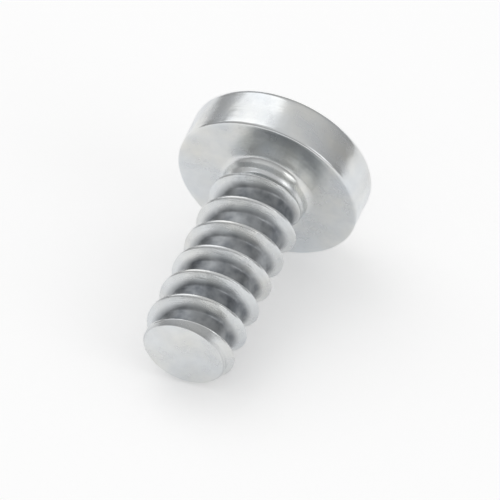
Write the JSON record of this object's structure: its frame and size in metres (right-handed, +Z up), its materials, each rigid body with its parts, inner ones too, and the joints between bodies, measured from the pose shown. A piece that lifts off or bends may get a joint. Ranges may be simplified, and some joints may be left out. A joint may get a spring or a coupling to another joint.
{
  "type": "pan head screw",
  "caption": "Short pan head screw with a cross recess, a coarse thread up to the head and a flat end.",
  "frame": {"origin": "on the surface that the loose screw lies on, under the middle of its bounding box", "axes": "+Z up; the screw's axis lies in the YZ plane and rises 12.15 degrees from the flat end, towards -Y, to the head, towards +Y; +X across the screw"},
  "size_m": [0.008, 0.0128, 0.0082],
  "materials": {
    "plated_steel": "bright, clear zinc plated"
  },
  "bodies": {
    "root": {"pan_head_screw": "plated_steel"}
  },
  "joints": []
}
